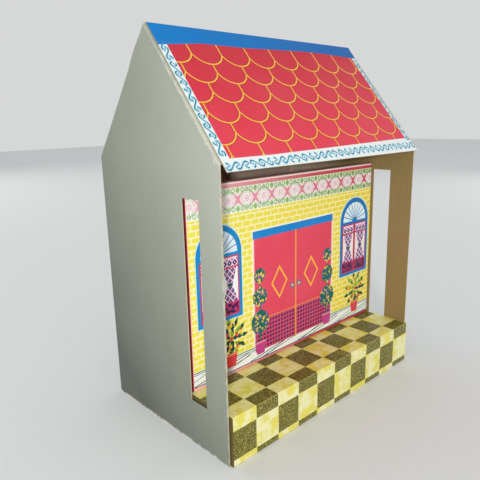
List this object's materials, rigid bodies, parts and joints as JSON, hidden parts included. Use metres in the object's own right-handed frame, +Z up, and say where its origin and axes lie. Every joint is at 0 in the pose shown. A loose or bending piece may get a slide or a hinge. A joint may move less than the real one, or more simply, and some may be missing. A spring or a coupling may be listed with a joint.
{
  "type": "paper warehouse model",
  "caption": "Model house of folded card with a tiled gable roof, a printed brick facade with arched windows and a wide door, and a checked plinth.",
  "frame": {"origin": "on the ground at the middle of the footprint", "axes": "+Z up; the open front with the facade faces -Y; +X to the right seen from the front"},
  "size_m": [0.304, 0.2014, 0.3926],
  "materials": {
    "grey_board": "matte grey-backed board",
    "roof_board": "matte grey-backed board",
    "roof_paper": "glossy printed paper",
    "ridge_blue": "glossy print",
    "tile_red": "glossy print",
    "tile_outline": "glossy print",
    "red_carton": "glossy red covering on card",
    "facade_paper": "glossy printed paper",
    "brick_yellow": "glossy print",
    "frieze_white": "glossy print",
    "leaf_green": "glossy print",
    "star_pink": "glossy print",
    "rosette_pink": "glossy print",
    "frame_blue": "glossy print",
    "pane_white": "glossy print",
    "sash_red": "glossy print",
    "curtain_purple": "glossy print",
    "panel_purple": "glossy print",
    "head_panel_pale": "glossy print",
    "lintel_blue": "glossy print",
    "door_red": "glossy print",
    "door_line": "glossy print",
    "grille_purple": "glossy print",
    "door_yellow": "glossy print",
    "pot_red": "glossy print",
    "plant_green": "glossy print",
    "blossom_red": "glossy print",
    "step_teal": "glossy print",
    "plinth_card": "matte brown card",
    "check_pale": "satin adhesive sheet, pale marbled checks",
    "check_dark": "satin adhesive sheet, dark granite checks"
  },
  "bodies": {
    "root": {"house_walls": "grey_board", "roof_card": "roof_board", "roof_sheet": "roof_paper", "roof_ridge_band": "ridge_blue", "roof_tile_field": "tile_red", "roof_tile_lines": "tile_outline", "plinth_box": "plinth_card", "plinth_cover": "check_pale", "plinth_dark_checks": "check_dark", "facade_board": "red_carton", "facade_sheet": "facade_paper", "facade_bricks": "brick_yellow", "facade_frieze": "frieze_white", "facade_frieze_edges": "leaf_green", "facade_frieze_stars": "star_pink", "facade_rosettes": "rosette_pink", "facade_window_frames": "frame_blue", "facade_window_panes": "pane_white", "facade_window_sashes": "sash_red", "facade_curtains": "curtain_purple", "facade_window_foot_panels": "panel_purple", "facade_window_head_panels": "head_panel_pale", "facade_lintel": "lintel_blue", "facade_door": "door_red", "facade_door_trim": "door_line", "facade_door_grille": "grille_purple", "facade_door_panels": "door_yellow", "facade_pots": "pot_red", "facade_leaves": "plant_green", "facade_blossoms": "blossom_red", "facade_step_lines": "step_teal"}
  },
  "joints": []
}
